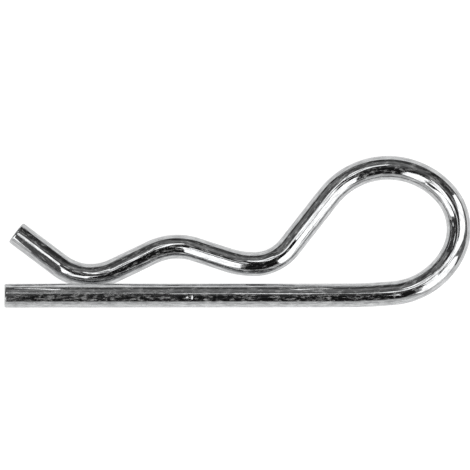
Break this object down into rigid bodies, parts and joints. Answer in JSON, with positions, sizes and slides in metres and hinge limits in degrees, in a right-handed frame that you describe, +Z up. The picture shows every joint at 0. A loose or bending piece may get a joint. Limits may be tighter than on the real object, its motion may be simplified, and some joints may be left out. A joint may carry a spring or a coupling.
{
  "type": "hitch r clip pin",
  "caption": "Spring wire clip with a straight leg, a round finger eye and a waved arm that snaps over a hitch pin.",
  "frame": {"origin": "centre of the clip's outline seen from above, on the surface that the clip lies on", "axes": "+X along the leg towards the finger eye, +Y from the leg towards the waved arm, +Z up from the surface"},
  "size_m": [0.0774, 0.0252, 0.0086],
  "materials": {
    "plated_wire": "bright zinc plate over drawn spring steel, with fine lines along the wire and faint mottling"
  },
  "bodies": {
    "root": {"spring_clip": "plated_wire"}
  },
  "joints": []
}
